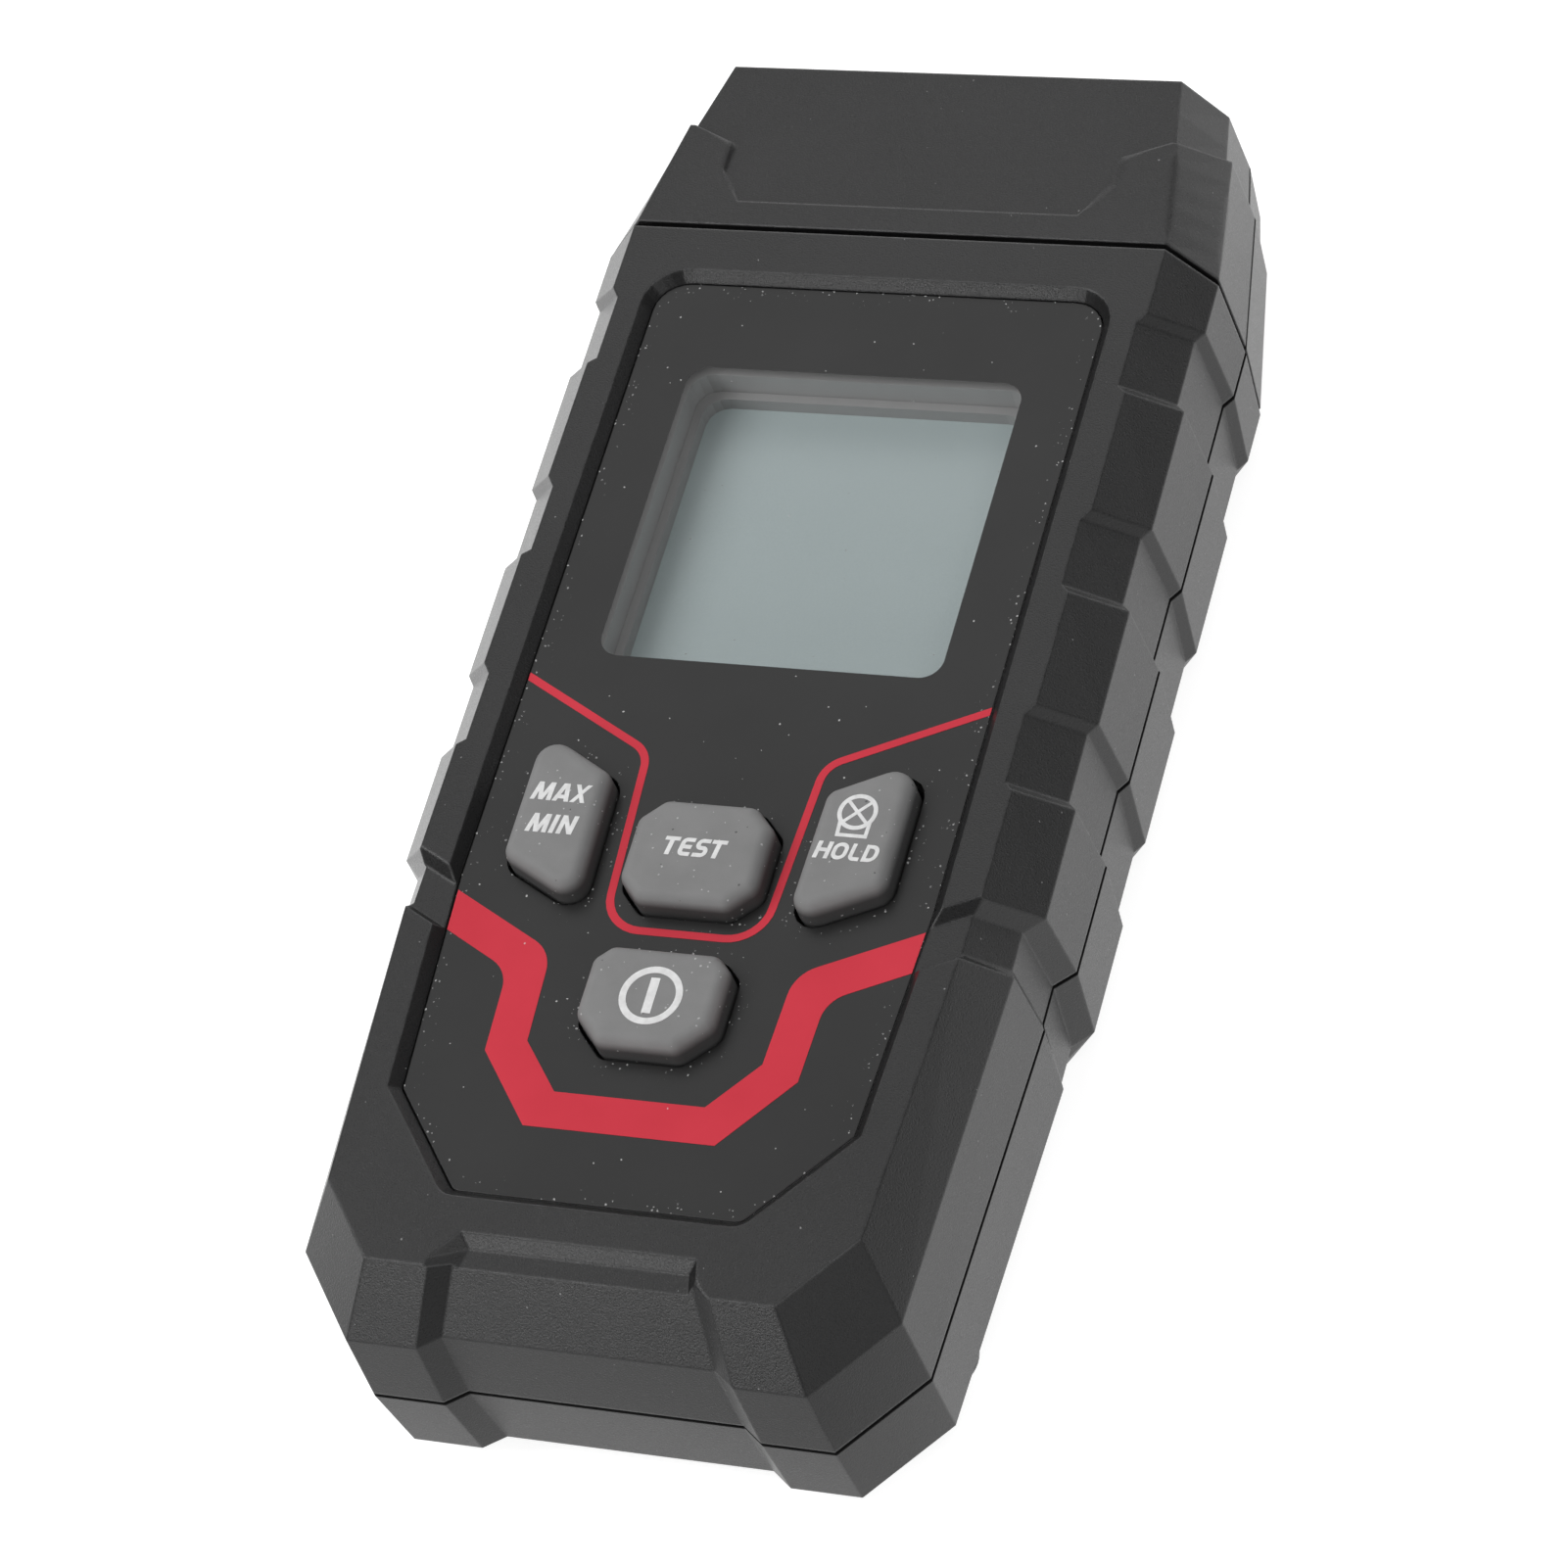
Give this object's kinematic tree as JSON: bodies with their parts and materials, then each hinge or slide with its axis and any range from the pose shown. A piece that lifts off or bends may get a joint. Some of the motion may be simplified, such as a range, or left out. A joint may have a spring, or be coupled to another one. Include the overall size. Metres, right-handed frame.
{
  "type": "laser tachometer",
  "caption": "Hand-held laser tachometer in a chamfered charcoal case with grip notches, display window, rubber keys, tapered optics head and rear battery door.",
  "frame": {"origin": "middle of the underside of the box, on the flat back face", "axes": "+Z out of the front with the display, +Y toward the head, +X to the right as the display is read"},
  "size_m": [0.0584, 0.1308, 0.0286],
  "materials": {
    "case_plastic": "fine moulded grain",
    "panel_plastic": "satin printed sheet",
    "bezel_plastic": "smooth",
    "display_glass": "polariser film",
    "light_guide": "frosted",
    "strip_rubber": "smooth",
    "board": "solder mask",
    "dark_plastic": "smooth",
    "key_rubber": "soft matte",
    "plunger_plastic": "smooth",
    "brass": "turned",
    "lens_glass": "polished",
    "steel": "plated",
    "cell_jacket": "printed sleeve"
  },
  "bodies": {
    "case": {"front_case": "case_plastic", "rear_case": "case_plastic", "head_cap": "case_plastic", "front_panel": "panel_plastic", "lcd_bezel": "bezel_plastic", "lcd_glass": "display_glass", "backlight_panel": "light_guide", "contact_strip": "strip_rubber", "main_board": "board", "sensor_board": "board", "controller_chip": "dark_plastic", "buzzer": "dark_plastic", "switch_bodies": "dark_plastic", "optics_holder": "dark_plastic", "photodiode": "dark_plastic", "laser_barrel": "brass", "sensor_header": "brass", "laser_lens": "lens_glass", "receiver_lens": "lens_glass", "laser_diode": "steel", "contact_springs": "steel", "contact_plates": "steel", "case_screws": "steel", "board_screws": "steel", "optics_screws": "steel", "cell_left": "cell_jacket", "cell_middle": "cell_jacket", "cell_right": "cell_jacket"},
    "max_min_button": {"max_min_key": "key_rubber", "max_min_plunger": "plunger_plastic"},
    "test_button": {"test_key": "key_rubber", "test_plunger": "plunger_plastic"},
    "hold_button": {"hold_key": "key_rubber", "hold_plunger": "plunger_plastic"},
    "power_button": {"power_key": "key_rubber", "power_plunger": "plunger_plastic"},
    "door": {"battery_door": "case_plastic"}
  },
  "joints": [
    {"name": "max_min_press", "type": "slide", "parent": "case", "child": "max_min_button", "axis": [0, 0, -1], "range_m": [0, 0.0005], "stiffness_N_per_m": 1500, "springref_m": -0.0005},
    {"name": "test_press", "type": "slide", "parent": "case", "child": "test_button", "axis": [0, 0, -1], "range_m": [0, 0.0005], "stiffness_N_per_m": 1500, "springref_m": -0.0005},
    {"name": "hold_press", "type": "slide", "parent": "case", "child": "hold_button", "axis": [0, 0, -1], "range_m": [0, 0.0005], "stiffness_N_per_m": 1500, "springref_m": -0.0005},
    {"name": "power_press", "type": "slide", "parent": "case", "child": "power_button", "axis": [0, 0, -1], "range_m": [0, 0.0005], "stiffness_N_per_m": 1500, "springref_m": -0.0005},
    {"name": "door_swing", "type": "hinge", "parent": "case", "child": "door", "pos_m": [0, -0.05335, 0.00025], "axis": [-1, 0, 0], "range_deg": [0, 60]}
  ]
}
